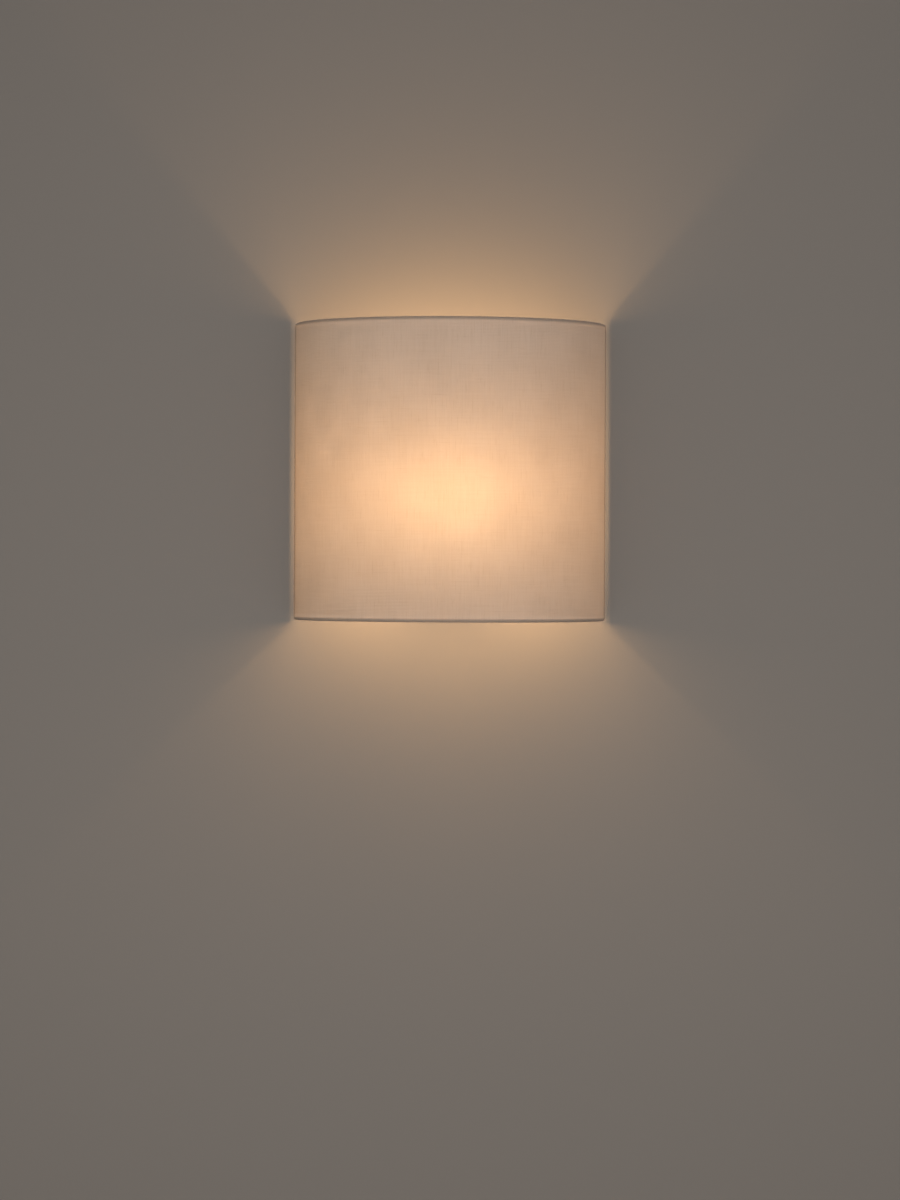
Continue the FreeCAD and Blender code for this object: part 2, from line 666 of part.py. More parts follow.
def socket_contacts():
    """Brass screw shell, the link to its terminal, and the sprung centre contact."""
    shell_bottom = "insert_bottom + insert_thick + 1"
    shell_outer = "socket_size / 2 + 0.35"
    turned_piece("thread_shell", ("0", "lamp_y", shell_bottom), [
        ("socket_size / 2", "0"), (shell_outer, "0"), (shell_outer, "23"), ("socket_size / 2", "23")])
    keep(block("4.6", "5", "1", ("-13.6", "lamp_y - 2.5", "insert_bottom + insert_thick")), "neutral_link")
    head = cylinder("3", "1.5", ("0", "lamp_y", "bulb_tip - 1.55"))
    stem = cylinder("1.1", "bulb_tip - 1.55 - insert_bottom", ("0", "lamp_y", "insert_bottom"))
    keep(join(head, stem), "centre_contact")
    spring_foot = "insert_bottom + 1.5"
    spring_length = "bulb_tip - 1.55 - insert_bottom - 1.5"
    spring = cut(cylinder("2.9", spring_length, ("0", "lamp_y", spring_foot)),
                 cylinder("1.5", spring_length, ("0", "lamp_y", spring_foot)))
    keep(spring, "contact_spring")


# ---------------------------------------------------------------- bulb

def bulb():
    """Opal golf-ball bulb with a screw cap."""
    foot = ("0", "lamp_y", "bulb_tip")
    ball_middle = "bulb_tip + bulb_height - bulb_size / 2"
    dome_cut = 42
    turned_piece("bulb_tip_contact", foot, [
        ("0", "0"), ("3.6", "0"), ("4.6", "0.6"), ("4.6", "1.2"), ("0", "1.2")])
    turned_piece("bulb_insulator", foot, [
        ("0", "1.2"), ("4.8", "1.2"), ("9.6", "4.4"), ("9.6", "6.4"), ("0", "6.4")])
    wave = []
    for ridge in range(4):
        base = "6.6 + %d * thread_pitch" % ridge
        wave += [("cap_root / 2", base), ("cap_crest / 2", base + " + thread_pitch * 0.35"),
                 ("cap_crest / 2", base + " + thread_pitch * 0.65")]
    profile = [("9.7", "4.6"), ("11.3", "5.2"), ("cap_root / 2", "6.0")] + wave
    profile += [("cap_root / 2", "6.6 + 4 * thread_pitch"), ("13.1", "22.6"), ("13.1", "cap_height"),
                ("12.7", "cap_height"), ("12.7", "22.6"), ("11.6", "21"), ("11.6", "6.8"), ("9.7", "6.6")]
    turned_piece("bulb_cap", foot, profile)
    turned_piece("bulb_housing", foot, [
        ("11", "22.8"), ("12.6", "22.8"), ("12.6", "cap_height + 0.2"), ("13.6", "cap_height + 0.2"),
        ("15.6", "cap_height + 7"), ("17.8", str(dome_cut)), ("16.2", str(dome_cut)),
        ("14.2", "cap_height + 7"), ("11", "cap_height - 1")])
    ball = doc.addObject("Part::Sphere", "ball")
    bind(ball, "Radius", "bulb_size / 2")
    put(ball, ("0", "lamp_y", ball_middle))
    hollow = doc.addObject("Part::Sphere", "hollow")
    bind(hollow, "Radius", "bulb_size / 2 - 1.2")
    put(hollow, ("0", "lamp_y", ball_middle))
    below = cylinder("bulb_size", "bulb_size", ("0", "lamp_y", "bulb_tip + %d - bulb_size" % dome_cut))
    keep(cut(ball, hollow, below), "bulb_globe")


# ---------------------------------------------------------------- wires

def wire_path(points, radii):
    """Straight runs through the points, joined by tangent arcs of the given radii."""
    edges = []
    start = points[0]
    for before, corner, after, radius in zip(points, points[1:], points[2:], radii):
        inward = (corner - before).normalize()
        outward = (after - corner).normalize()
        half_turn = inward.getAngle(outward) / 2
        reach = radius * math.tan(half_turn)
        arc_start = corner - inward * reach
        arc_end = corner + outward * reach
        across = (outward - inward).normalize()
        centre = corner + across * (radius / math.cos(half_turn))
        middle = centre - across * radius
        edges.append(Part.LineSegment(start, arc_start).toShape())
        edges.append(Part.Arc(arc_start, middle, arc_end).toShape())
        start = arc_end
    edges.append(Part.LineSegment(start, points[-1]).toShape())
    return Part.Wire(edges)


def lead(name, points, radii):
    """An insulated wire swept along its path."""
    points = [FreeCAD.Vector(*point) for point in points]
    path = wire_path(points, radii)
    radius = size("wire_size") / 2
    first_run = points[1] - points[0]
    section = Part.Wire(Part.Circle(points[0], first_run, radius).toShape())
    tube = path.makePipeShell([section], True, False)
    expected = math.pi * radius ** 2 * path.Length
    print("%s: length %.1f mm, volume %.1f of %.1f mm3" % (name, path.Length, tube.Volume, expected))
    piece = doc.addObject("Part::Feature", name)
    piece.Shape = tube
    piece.Placement = FreeCAD.Placement()
    keep(piece, name)


def leads():
    """Live and neutral through the arm into the holder, and the earth lead to its screw."""
    block_bottom = size("block_middle") - size("block_height") / 2
    block_y = -size("plate_thick") - size("block_depth") / 2
    lamp_y = size("lamp_y")
    low = size("wire_height")
    terminal = size("insert_bottom") - 5
    pole = size("pole_pitch")
    for name, side, start_x in (("live_lead", 1, pole), ("neutral_lead", -1, 0)):
        points = [(start_x, block_y, block_bottom + 4), (start_x, block_y, block_bottom - 8),
                  (1.3 * side, block_y - 2, low), (1.3 * side, lamp_y, low),
                  (1.3 * side, lamp_y, terminal - 3.6), (7.2 * side, lamp_y, terminal - 1.4),
                  (7.2 * side, lamp_y, terminal + 3)]
        lead(name, points, [10, 7, 3, 2, 2.2])
    lead("earth_lead", [(-pole, block_y, block_bottom + 4), (-pole, block_y, block_bottom - 5),
                        (-12.5, -3.5, -22.6), (-17.3, -3.5, -23.6)], [3.5, 3.5])


shade_fabric()
shade_liner()
ring_wire("lower_ring", LOW_RING)
ring_wire("upper_ring", HIGH_RING)
side_rod("left_side_rod", "-")
side_rod("right_side_rod", "")
back_strut("left_back_strut", "-")
back_strut("right_back_strut", "")
wall_plate()
hanging_studs()
cable_grommet()
cable_clamp()
terminal_block()
earth_fittings()
cover()
lamp_arm()
nipple_set()
lampholder()
contact_insert()
socket_contacts()
bulb()
leads()

doc.recompute()
for thing in doc.Objects:
    if "Invalid" in thing.State or "Error" in thing.State:
        raise RuntimeError("%s did not recompute: %s" % (thing.Label, thing.State))
os.makedirs("parts", exist_ok=True)
for node in nodes:
    shape = node.Shape
    if shape.isNull() or not shape.isValid() or not shape.Solids:
        raise RuntimeError("%s is not a valid solid" % node.Label)
for node in nodes:
    node.Shape.exportStep("parts/%s.step" % node.Label)
    box = node.Shape.BoundBox
    print("%-24s %d solid(s) %9.1f mm3  x %.1f..%.1f  y %.1f..%.1f  z %.1f..%.1f" % (
        node.Label, len(node.Shape.Solids), node.Shape.Volume,
        box.XMin, box.XMax, box.YMin, box.YMax, box.ZMin, box.ZMax))
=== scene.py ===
import math

import bmesh
import bpy
from mathutils import Matrix, Vector


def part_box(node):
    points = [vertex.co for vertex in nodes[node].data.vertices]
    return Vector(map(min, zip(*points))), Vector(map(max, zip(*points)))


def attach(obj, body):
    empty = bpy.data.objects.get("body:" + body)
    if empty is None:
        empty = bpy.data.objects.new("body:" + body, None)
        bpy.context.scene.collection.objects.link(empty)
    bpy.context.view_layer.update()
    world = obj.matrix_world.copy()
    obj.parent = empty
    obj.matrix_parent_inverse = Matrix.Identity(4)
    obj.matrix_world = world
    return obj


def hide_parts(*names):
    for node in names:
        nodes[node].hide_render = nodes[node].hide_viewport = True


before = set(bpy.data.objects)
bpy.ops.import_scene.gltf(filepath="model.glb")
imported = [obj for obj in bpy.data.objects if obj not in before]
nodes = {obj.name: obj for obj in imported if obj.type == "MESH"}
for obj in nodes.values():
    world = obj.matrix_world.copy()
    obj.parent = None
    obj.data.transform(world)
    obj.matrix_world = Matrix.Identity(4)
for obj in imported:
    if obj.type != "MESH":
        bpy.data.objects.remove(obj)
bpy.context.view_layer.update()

# ---------------------------------------------------------------- camera
# The photograph's view: square on to the wall and nearly level with the shade's lower edge, through a
# long lens from 3.5 m away.  The small shift puts the lens's level line above the picture's middle.

LENS_TO_HEIGHT = 4350 / 1200
SENSOR = 36
CAMERA_PLACE = Vector((0.0004, -3.5045, -0.027))
LEVEL_LINE_SHIFT = -38 / 1200
CAMERA_ROLL = math.radians(0.28)

camera_data = bpy.data.cameras.new("camera")
camera_data.sensor_fit = "VERTICAL"
camera_data.sensor_height = SENSOR
camera_data.lens = LENS_TO_HEIGHT * SENSOR
camera_data.shift_y = LEVEL_LINE_SHIFT
camera_data.clip_end = 30
camera = bpy.data.objects.new("camera", camera_data)
camera.matrix_world = (Matrix.Translation(CAMERA_PLACE) @ Matrix.Rotation(math.radians(90), 4, "X")
                       @ Matrix.Rotation(CAMERA_ROLL, 4, "Z"))
bpy.context.collection.objects.link(camera)
bpy.context.scene.camera = camera

# ---------------------------------------------------------------- wall, floor and studio light
# A painted wall just behind the light and a pale floor below it, neither part of the object.  Each is
# seen from its front only, so that views from behind and below still show the light.

WALL_PAINT = "#79746F"
FLOOR_GREY = "#C9C6C1"
WALL_Y = 0.0006
FLOOR_Z = -0.62
WALL_WIDTH = 5.0
WALL_TOP = 2.2
FLOOR_REACH = 4.2
FLOOR_BACK = 2.0


def linear(colour):
    """A colour written as sRGB hex, as linear RGBA."""
    parts = [int(colour[i:i + 2], 16) / 255 for i in (1, 3, 5)]
    return (*[c / 12.92 if c <= 0.04045 else ((c + 0.055) / 1.055) ** 2.4 for c in parts], 1)


def node(tree, kind, settings=None, inputs=None):
    """Add a shader node with its settings, and each input given as a value or as a link from a socket."""
    new = tree.nodes.new("ShaderNode" + kind)
    for name, setting in (settings or {}).items():
        setattr(new, name, setting)
    for name, source in (inputs or {}).items():
        if isinstance(source, bpy.types.NodeSocket):
            tree.links.new(source, new.inputs[name])
        else:
            new.inputs[name].default_value = source
    return new


def new_material(name):
    """An empty node material: its tree and its output node."""
    material = bpy.data.materials.new(name)
    material.use_nodes = True
    material.node_tree.nodes.clear()
    return material, material.node_tree, material.node_tree.nodes.new("ShaderNodeOutputMaterial")


def one_sided_paint(name, colour, roughness):
    """Matt paint that is clear from behind."""
    material, tree, output = new_material(name)
    paint = node(tree, "BsdfPrincipled", inputs={"Base Color": linear(colour), "Roughness": roughness,
                                                 "Specular IOR Level": 0.2})
    clear = node(tree, "BsdfTransparent")
    side = node(tree, "NewGeometry")
    mixed = node(tree, "MixShader",
                 inputs={0: side.outputs["Backfacing"], 1: paint.outputs[0], 2: clear.outputs[0]})
    tree.links.new(mixed.outputs[0], output.inputs["Surface"])
    return material


def stage_plane(name, corners, material):
    """A flat staged surface through four corners, anticlockwise from its front."""
    bm = bmesh.new()
    bm.faces.new([bm.verts.new(corner) for corner in corners])
    mesh = bpy.data.meshes.new(name)
    bm.to_mesh(mesh)
    bm.free()
    mesh.materials.append(material)
    plane = bpy.data.objects.new(name, mesh)
    bpy.context.collection.objects.link(plane)
    return plane


half_wall = WALL_WIDTH / 2
wall = stage_plane("wall", [(-half_wall, WALL_Y, FLOOR_Z), (half_wall, WALL_Y, FLOOR_Z),
                            (half_wall, WALL_Y, WALL_TOP), (-half_wall, WALL_Y, WALL_TOP)],
                   one_sided_paint("matt_wall_paint", WALL_PAINT, 0.9))
floor = stage_plane("floor", [(-half_wall, -FLOOR_REACH, FLOOR_Z), (half_wall, -FLOOR_REACH, FLOOR_Z),
                              (half_wall, FLOOR_BACK, FLOOR_Z), (-half_wall, FLOOR_BACK, FLOOR_Z)],
                    one_sided_paint("pale_floor", FLOOR_GREY, 0.7))


def studio_light(name, place, target, width, height, power, colour="#FFFFFF"):
    """A soft rectangular lamp that faces a target."""
    lamp = bpy.data.lights.new(name, "AREA")
    lamp.shape = "RECTANGLE"
    lamp.size = width
    lamp.size_y = height
    lamp.energy = power
    lamp.color = linear(colour)[:3]
    holder = bpy.data.objects.new(name, lamp)
    holder.matrix_world = (Matrix.Translation(place)
                           @ (Vector(target) - Vector(place)).to_track_quat("-Z", "Y").to_matrix().to_4x4())
    bpy.context.collection.objects.link(holder)
    return holder


key_softbox = studio_light("key_softbox", (-1.3, -2.8, 0.9), (0, 0, 0), 1.6, 1.6, 36, "#FFFBF6")
fill_softbox = studio_light("fill_softbox", (1.4, -2.8, 0.1), (0, 0, 0), 1.6, 1.6, 30, "#F6F7FF")
floor_wash = studio_light("floor_wash", (0, -1.2, 1.8), (0, -1.0, FLOOR_Z), 2.4, 2.0, 70, "#FFFFFF")
wall_wash = studio_light("wall_wash", (0, -1.3, 0), (0, 0, 0), 1.0, 0.8, 9, "#FFFCFB")
rear_softbox = studio_light("rear_softbox", (0.4, 2.2, 1.0), (0, 0, 0.05), 2.6, 2.4, 36, "#FFFFFF")

STUDIO_AIR = "#CFCDCA"
AIR_LIGHT = 0.45
AIR_SEEN = 0.85

world = bpy.data.worlds.new("studio_air")
world.use_nodes = True
world.node_tree.nodes.clear()
rays = node(world.node_tree, "LightPath")
seen = rays.outputs["Is Camera Ray"]
for ray in ("Is Glossy Ray", "Is Transmission Ray"):
    seen = node(world.node_tree, "Math", {"operation": "MAXIMUM"}, {0: seen, 1: rays.outputs[ray]}).outputs[0]
strength = node(world.node_tree, "MapRange", inputs={"Value": seen, "To Min": AIR_LIGHT, "To Max": AIR_SEEN})
air = node(world.node_tree, "Background",
           inputs={"Color": linear(STUDIO_AIR), "Strength": strength.outputs[0]})
node(world.node_tree, "OutputWorld", inputs={"Surface": air.outputs[0]})
bpy.context.scene.world = world
bpy.context.scene.view_settings.view_transform = "Standard"

# ---------------------------------------------------------------- shade frame
# Steel wire rings above and below, wire rods up both back edges, and two flat struts that hang on the wall
# plate's studs.  All are spot-welded together and powder-coated white.


def toned(tree, size, light, dark, stretch=(1, 1, 1)):
    """A colour that drifts between two tones in soft patches of a given size, and how far it has drifted."""
    place = node(tree, "TexCoord")
    scaled = node(tree, "Mapping", inputs={"Vector": place.outputs["Object"],
                                           "Scale": [factor / size for factor in stretch]})
    patches = node(tree, "TexNoise", inputs={"Vector": scaled.outputs[0], "Scale": 1.0, "Detail": 3.0})
    drift = node(tree, "MapRange",
                 inputs={"Value": patches.outputs["Fac"], "From Min": 0.35, "From Max": 0.65})
    colour = node(tree, "Mix", {"data_type": "RGBA"},
                  {"Factor": drift.outputs[0], "A": linear(light), "B": linear(dark)})
    return colour.outputs["Result"], drift.outputs[0]


def relief(tree, size, depth, stretch=(1, 1, 1)):
    """A fine bump of a given grain size and depth, in metres."""
    place = node(tree, "TexCoord")
    scaled = node(tree, "Mapping", inputs={"Vector": place.outputs["Object"],
                                           "Scale": [factor / size for factor in stretch]})
    grain = node(tree, "TexNoise", inputs={"Vector": scaled.outputs[0], "Scale": 1.0, "Detail": 2.0})
    bump = node(tree, "Bump", inputs={"Height": grain.outputs["Fac"], "Strength": 0.6, "Distance": depth})
    return bump.outputs[0]


def surface(name, tones, patch, gloss, grain, depth, stretch=(1, 1, 1), grain_stretch=(1, 1, 1), **sockets):
    """A finish with drifting tone and gloss over a fine relief; other sockets take one even value each."""
    material, tree, output = new_material(name)
    colour, drift = toned(tree, patch, *tones, stretch=stretch)
    roughness = node(tree, "MapRange", inputs={"Value": drift, "To Min": gloss[0], "To Max": gloss[1]})
    even = {socket.replace("_", " "): value for socket, value in sockets.items()}
    shader = node(tree, "BsdfPrincipled", inputs={
        "Base Color": colour, "Roughness": roughness.outputs[0],
        "Normal": relief(tree, grain, depth, grain_stretch), **even})
    tree.links.new(shader.outputs[0], output.inputs["Surface"])
    return material


def dress(names, material):
    """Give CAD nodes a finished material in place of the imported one."""
    for name in names:
        for slot in nodes[name].material_slots:
            slot.material = material


# Epoxy powder coat on steel: an even satin white, with a slight orange peel that breaks up its highlights.
powder_coat = surface("white_epoxy_powder_coat", ("#E9E7E1", "#E1DED7"), 0.03, (0.36, 0.48), 0.0012, 0.00006)
dress(["lower_ring", "upper_ring", "left_side_rod", "right_side_rod", "left_back_strut", "right_back_strut"],
      powder_coat)

# ---------------------------------------------------------------- shade fabric
# A plain-woven natural cotton and linen cloth, laminated to its liner and rolled round the ring wires at
# the top and bottom and round the side rods at the back, where it is glued down inside.

THIN_CLOTH = "#E6DDD5"
THICK_CLOTH = "#D8CDC2"
# The next colour is a painted shade, multiplied into the cloth where it is doubled: the light a second layer
# holds back.
SECOND_LAYER_SHADE = "#E7E3DF"
SIDE_TURN_IN = 0.019
SIDE_TURN_FADE = 0.0008
HEM_DEPTH = 0.0082
HEM_FADE = 0.0012
CLOTH_THROUGH = 0.74
SHADE_WIDTH = 0.25
SHADE_AXIS_Y = -0.0045
FABRIC_THICK = 0.0005
HEM_PLAY = 0.00025
WEAVE_PITCH = 0.0011
ONE_BAND = 0.31
ROUND_STEPS = 144
HEM_STEPS = 14
RISE_STEPS = 24
SIDE_HEM_STEPS = 12
SIDE_TUCK_OUT = 0.0028
SIDE_TUCK_FORWARD = 0.0065

wire_low, wire_high = (Vector(corner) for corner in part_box("left_side_rod"))
wire_radius = (wire_high.x - wire_low.x) / 2
roll_radius = wire_radius + HEM_PLAY + FABRIC_THICK / 2
shade_radius = SHADE_WIDTH / 2 - FABRIC_THICK / 2
shade_bottom = wire_low.z - wire_radius
shade_top = wire_high.z + wire_radius
roll_line = shade_radius - roll_radius


def arc_points(centre, radius, start, end, steps):
    """Points on an arc in a plane, from one angle in degrees to another."""
    turn = [math.radians(start + (end - start) * i / steps) for i in range(steps + 1)]
    return [(centre[0] + radius * math.cos(a), centre[1] + radius * math.sin(a)) for a in turn]


def finish_mesh(name, bm, material, body):
    """Turn a bmesh into a smooth-shaded piece that rides on a body and takes a material slot."""
    mesh = bpy.data.meshes.new(name)
    bm.to_mesh(mesh)
    bm.free()
    mesh.materials.append(material)
    mesh.polygons.foreach_set("use_smooth", [True] * len(mesh.polygons))
    piece = bpy.data.objects.new(name, mesh)
    bpy.context.collection.objects.link(piece)
    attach(piece, body)
    return piece


def thread_noise(tree, cloth, across, along, low, high, detail=2.0):
    """Streaks on the flat cloth, one size across it and one along it, from 0 below low to 1 above high."""
    scaled = node(tree, "Mapping", inputs={"Vector": cloth.outputs[0], "Scale": (1 / across, 1 / along, 1)})
    streaks = node(tree, "TexNoise", {"noise_dimensions": "2D"},
                   {"Vector": scaled.outputs[0], "Scale": 1.0, "Detail": detail})
    return node(tree, "MapRange", inputs={"Value": streaks.outputs["Fac"], "From Min": low, "From Max": high})


def painted_hem_shade(tree, cloth):
    """Painted shade where the cloth is doubled: 1 on the hem rolls and the turned-in side hems, 0 elsewhere.
    """
    place = node(tree, "SeparateXYZ", inputs={"Vector": cloth.outputs[0]})
    ways = (("X", 0.0, math.pi / 2 * shade_radius - SIDE_TURN_IN, SIDE_TURN_FADE),
            ("Y", cloth_length / 2, cloth_length / 2 - HEM_DEPTH, HEM_FADE))
    doubled = []
    for way, middle, start, fade in ways:
        off = node(tree, "Math", {"operation": "SUBTRACT"}, {0: place.outputs[way], 1: middle})
        reach = node(tree, "Math", {"operation": "ABSOLUTE"}, {0: off.outputs[0]})
        doubled.append(node(tree, "MapRange", inputs={"Value": reach.outputs[0], "From Min": start,
                                                      "From Max": start + fade}))
    either = node(tree, "Math", {"operation": "MAXIMUM"},
                  {0: doubled[0].outputs[0], 1: doubled[1].outputs[0]})
    return either.outputs[0]


def woven_shade_cloth():
    """Woven linen and cotton: threads of uneven thickness cross, with a few slubs both ways.

    The real threads lie 0.5 mm apart, too fine to show, so the weave is drawn at about twice that.
    """
    material, tree, output = new_material("woven_linen_and_cotton")
    cloth = node(tree, "UVMap", {"uv_map": "cloth"})
    # Upright threads, level threads, upright slubs, level slubs and slow patches, each with its weight.
    parts = [(thread_noise(tree, cloth, 0.0011, 0.030, 0.3, 0.7), 0.22),
             (thread_noise(tree, cloth, 0.045, 0.0012, 0.3, 0.7), 0.16),
             (thread_noise(tree, cloth, 0.0010, 0.014, 0.64, 0.78, 1.0), 0.34),
             (thread_noise(tree, cloth, 0.016, 0.0011, 0.67, 0.80, 1.0), 0.22),
             (thread_noise(tree, cloth, 0.035, 0.045, 0.3, 0.7), 0.16)]
    density = 0.0
    for streaks, weight in parts:
        density = node(tree, "Math", {"operation": "MULTIPLY_ADD"},
                       {0: streaks.outputs[0], 1: weight, 2: density}).outputs[0]
    pitch = node(tree, "Mapping",
                 inputs={"Vector": cloth.outputs[0], "Scale": (1 / WEAVE_PITCH, 1 / WEAVE_PITCH, 1)})
    # At a scale of ONE_BAND the wave texture has about one band to a unit, here one thread pitch.
    bands = [node(tree, "TexWave", {"wave_type": "BANDS", "bands_direction": way, "wave_profile": "SIN"},
                  {"Vector": pitch.outputs[0], "Scale": ONE_BAND, "Distortion": 0.8, "Detail": 1.0})
             for way in "XY"]
    weave = node(tree, "Math", {"operation": "MULTIPLY"},
                 {0: bands[0].outputs["Fac"], 1: bands[1].outputs["Fac"]})
    thick = node(tree, "Math", {"operation": "MULTIPLY_ADD", "use_clamp": True},
                 {0: weave.outputs[0], 1: 0.12, 2: density})
    colour = node(tree, "Mix", {"data_type": "RGBA"},
                  {"Factor": thick.outputs[0], "A": linear(THIN_CLOTH), "B": linear(THICK_CLOTH)})
    # Painted shade: the cloth's colour is darkened where it is doubled, on the hem rolls and the turned-in
    # side hems.
    hem_shaded_cloth = node(tree, "Mix", {"data_type": "RGBA", "blend_type": "MULTIPLY"},
                       {"Factor": painted_hem_shade(tree, cloth), "A": colour.outputs["Result"],
                        "B": linear(SECOND_LAYER_SHADE)}).outputs["Result"]
    height = node(tree, "Math", {"operation": "ADD"}, {0: weave.outputs[0], 1: density})
    bump = node(tree, "Bump", inputs={"Height": height.outputs[0], "Strength": 0.35, "Distance": 0.00025})
    front = node(tree, "BsdfPrincipled", inputs={
        "Base Color": hem_shaded_cloth, "Roughness": 0.85, "Specular IOR Level": 0.2,
        "Sheen Weight": 0.1, "Sheen Roughness": 0.5, "Normal": bump.outputs[0]})
    through = node(tree, "BsdfTranslucent", inputs={"Color": hem_shaded_cloth, "Normal": bump.outputs[0]})
    mixed = node(tree, "MixShader", inputs={0: CLOTH_THROUGH, 1: front.outputs[0], 2: through.outputs[0]})
    tree.links.new(mixed.outputs[0], output.inputs["Surface"])
    return material


def hooked_profile():
    """The cloth's section as (radius, height): tucked end, roll over the lower wire, wall, upper roll."""
    lower = arc_points((roll_line, shade_bottom), roll_radius, -210, 0, HEM_STEPS)
    upper = arc_points((roll_line, shade_top), roll_radius, 0, 210, HEM_STEPS)
    rise = [(shade_radius, shade_bottom + (shade_top - shade_bottom) * i / RISE_STEPS)
            for i in range(1, RISE_STEPS)]
    return lower + rise + upper


def cloth_lengths(profile):
    """How far along the cloth each point of a profile lies."""
    lengths = [0.0]
    for (x0, y0), (x1, y1) in zip(profile, profile[1:]):
        lengths.append(lengths[-1] + math.hypot(x1 - x0, y1 - y0))
    return lengths


def shade_cloth_mesh():
    """The drum's wall with its rolled hems, and the two side hems that turn round the side rods."""
    profile = hooked_profile()
    lengths = cloth_lengths(profile)
    bm = bmesh.new()
    along = bm.verts.layers.float.new("along")
    verts = []
    for (radius, height), length in zip(profile, lengths):
        vert = bm.verts.new((radius, SHADE_AXIS_Y, height))
        vert[along] = length
        verts.append(vert)
    edges = [bm.edges.new(pair) for pair in zip(verts, verts[1:])]
    bmesh.ops.spin(bm, geom=verts + edges, cent=(0, SHADE_AXIS_Y, 0), axis=(0, 0, -1), angle=math.pi,
                   steps=ROUND_STEPS, use_duplicate=False)
    bmesh.ops.recalc_face_normals(bm, faces=bm.faces)
    side_low = shade_bottom + roll_radius
    side_high = shade_top - roll_radius
    for side in (-1, 1):
        hem = arc_points((side * roll_line, SHADE_AXIS_Y), roll_radius, 90 - side * 90, 90 + side * 90,
                         SIDE_HEM_STEPS)
        hem += [(side * (roll_line - roll_radius + t * SIDE_TUCK_OUT), SHADE_AXIS_Y - t * SIDE_TUCK_FORWARD)
                for t in (0.33, 0.66, 1.0)]
        row = [bm.verts.new((x, y, side_low)) for x, y in hem]
        for vert in row:
            vert[along] = side_low - shade_bottom + lengths[HEM_STEPS]
        row_edges = [bm.edges.new(pair) for pair in zip(row, row[1:])]
        grown = bmesh.ops.extrude_edge_only(bm, edges=row_edges)["geom"]
        for vert in grown:
            if isinstance(vert, bmesh.types.BMVert):
                vert.co.z = side_high
                vert[along] += side_high - side_low
    bmesh.ops.remove_doubles(bm, verts=bm.verts, dist=1e-6)
    uv = bm.loops.layers.uv.new("cloth")
    for face in bm.faces:
        for loop in face.loops:
            vert = loop.vert
            loop[uv].uv = (math.atan2(vert.co.x, SHADE_AXIS_Y - vert.co.y) * shade_radius, vert[along])
    return bm


cloth_length = cloth_lengths(hooked_profile())[-1]
shade_cloth = finish_mesh("shade_cloth", shade_cloth_mesh(), woven_shade_cloth(), "shade")
cloth_thickness = shade_cloth.modifiers.new("cloth_thickness", "SOLIDIFY")
cloth_thickness.thickness = FABRIC_THICK
cloth_thickness.offset = 0
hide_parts("shade_fabric")

# ---------------------------------------------------------------- liner
# A thin translucent polystyrene film that stiffens the cloth.  It is rolled flat to the cloth's back and
# stops just short of the wires.

LINER_WHITE = "#F2EEE6"
LINER_SHADOW = "#EAE5DA"
LINER_THICK = 0.00035
LINER_PLAY = 0.00004
LINER_END_DEGREES = 1.2
FILM_THROUGH = 0.5
liner_low, liner_high = (Vector(corner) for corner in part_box("shade_liner"))


def translucent_styrene():
    """Cast polystyrene film: smooth and faintly glossy, and it scatters the light that it lets through."""
    material, tree, output = new_material("translucent_styrene_film")
    colour, drift = toned(tree, 0.025, LINER_WHITE, LINER_SHADOW)
    gloss = node(tree, "MapRange", inputs={"Value": drift, "To Min": 0.38, "To Max": 0.5})
    front = node(tree, "BsdfPrincipled", inputs={
        "Base Color": colour, "Roughness": gloss.outputs[0], "IOR": 1.59, "Specular IOR Level": 0.4,
        "Normal": relief(tree, 0.004, 0.00005)})
    through = node(tree, "BsdfTranslucent", inputs={"Color": colour})
    film = node(tree, "MixShader", inputs={0: FILM_THROUGH, 1: front.outputs[0], 2: through.outputs[0]})
    tree.links.new(film.outputs[0], output.inputs["Surface"])
    return material


def liner_mesh():
    """A closed half tube of the liner's thickness, a little short of a half turn at each end."""
    outer = shade_radius - FABRIC_THICK / 2 - LINER_PLAY
    start = math.radians(LINER_END_DEGREES)
    section = [(outer, liner_low.z), (outer, liner_high.z), (outer - LINER_THICK, liner_high.z),
               (outer - LINER_THICK, liner_low.z)]
    bm = bmesh.new()
    verts = [bm.verts.new((radius, SHADE_AXIS_Y, height)) for radius, height in section]
    face = bm.faces.new(verts)
    bmesh.ops.rotate(bm, verts=verts, cent=(0, SHADE_AXIS_Y, 0), matrix=Matrix.Rotation(-start, 3, "Z"))
    bmesh.ops.spin(bm, geom=[face] + verts + list(bm.edges), cent=(0, SHADE_AXIS_Y, 0), axis=(0, 0, -1),
                   angle=math.pi - 2 * start, steps=ROUND_STEPS, use_duplicate=False)
    bmesh.ops.remove_doubles(bm, verts=bm.verts, dist=1e-7)
    bmesh.ops.recalc_face_normals(bm, faces=bm.faces)
    return bm


liner = finish_mesh("styrene_liner", liner_mesh(), translucent_styrene(), "shade")
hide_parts("shade_liner")

# ---------------------------------------------------------------- wall plate and its fittings
# A pressed and folded steel plate, zinc-plated, with a rubber grommet and a clamp for the cable, a terminal
# block and an earth screw.  Its shouldered studs come with the screws that show.

# Rolled steel with bright zinc plate: cool grey, with faint lines from the rolling along its height.
zinc_plate = surface("bright_zinc_plate", ("#D3D5D6", "#C6C8CA"), 0.012, (0.42, 0.55), 0.0006, 0.00003,
                     stretch=(1, 1, 0.3), grain_stretch=(1, 1, 0.06), Metallic=0.75)
dress(["wall_plate", "clamp_screws", "terminal_screws", "block_screw", "earth_washer", "arm_nuts",
       "toothed_washer", "nipple_nut", "holder_terminal_screws"], zinc_plate)

# Moulded rubber: near black and matt, with a slight bloom.
dress(["cable_grommet"], surface("moulded_rubber", ("#2B2B2C", "#353433"), 0.004, (0.7, 0.9), 0.0004, 0.00004,
                                 Specular_IOR_Level=0.3))

